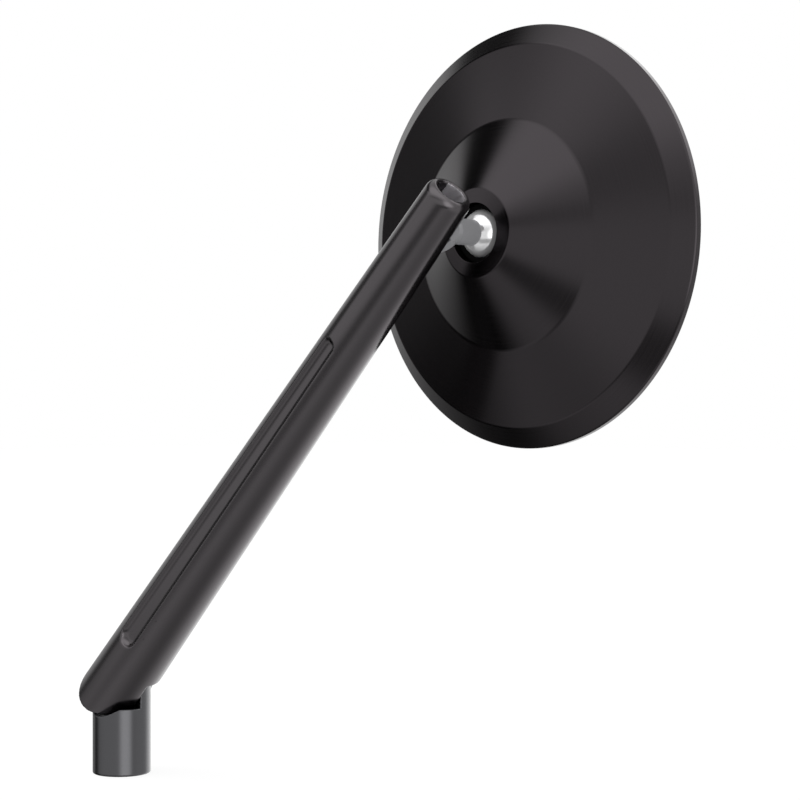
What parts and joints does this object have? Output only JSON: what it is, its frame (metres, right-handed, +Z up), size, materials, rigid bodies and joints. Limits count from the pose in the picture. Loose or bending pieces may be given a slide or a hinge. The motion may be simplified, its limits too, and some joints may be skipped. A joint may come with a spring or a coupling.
{
  "type": "motorcycle mirror",
  "caption": "Round motorcycle mirror: a turned black housing with a convex glass on a ball stud, carried by a tapered, grooved arm that tilts on a short tapped post.",
  "frame": {"origin": "centre of the post's foot, at the mouth of its tapped hole", "axes": "+Z up along the post, +X towards the mirror head in the arm's plane, +Y from the arm to the mirror head, so the glass faces +Y"},
  "size_m": [0.1707, 0.0449, 0.1865],
  "materials": {
    "post_aluminium": "black anodised, satin",
    "arm_aluminium": "black anodised, bead blasted",
    "housing_aluminium": "black anodised, fine turned",
    "chromed_steel": "polished ball, satin neck",
    "fastener_steel": "zinc plated",
    "black_steel": "black oxide",
    "spring_steel": "oiled spring steel",
    "acetal": "moulded acetal",
    "bonding_pad": "foam bonding pad",
    "mirror_glass": "silvered convex glass"
  },
  "bodies": {
    "post": {"base_post": "post_aluminium", "pivot_friction_washer": "acetal"},
    "arm": {"mirror_arm": "arm_aluminium", "ball_stud": "chromed_steel", "stud_set_screw": "black_steel", "pivot_screw": "fastener_steel", "pivot_disc_spring": "spring_steel", "pivot_flat_washer": "fastener_steel"},
    "ball_liner": {"friction_liner": "acetal"},
    "socket_cup": {"pressure_cup": "fastener_steel"},
    "mirror_head": {"mirror_housing": "housing_aluminium", "ball_seat": "acetal", "cup_disc_spring": "spring_steel", "retaining_ring": "fastener_steel", "adhesive_pad": "bonding_pad", "mirror_glass": "mirror_glass"}
  },
  "joints": [
    {"name": "arm_tilt", "type": "hinge", "parent": "post", "child": "arm", "pos_m": [0, 0, 0.0245], "axis": [0, 1, 0], "range_deg": [-105, 15]},
    {"name": "head_yaw", "type": "hinge", "parent": "arm", "child": "ball_liner", "pos_m": [0.11201, 0.0202, 0.13651], "axis": [0, 0, 1], "range_deg": [-20, 20]},
    {"name": "head_pitch", "type": "hinge", "parent": "ball_liner", "child": "socket_cup", "pos_m": [0.11201, 0.0202, 0.13651], "axis": [1, 0, 0], "range_deg": [-20, 20]},
    {"name": "head_spin", "type": "hinge", "parent": "socket_cup", "child": "mirror_head", "pos_m": [0.11201, 0.0202, 0.13651], "axis": [0, 1, 0], "continuous": true}
  ]
}
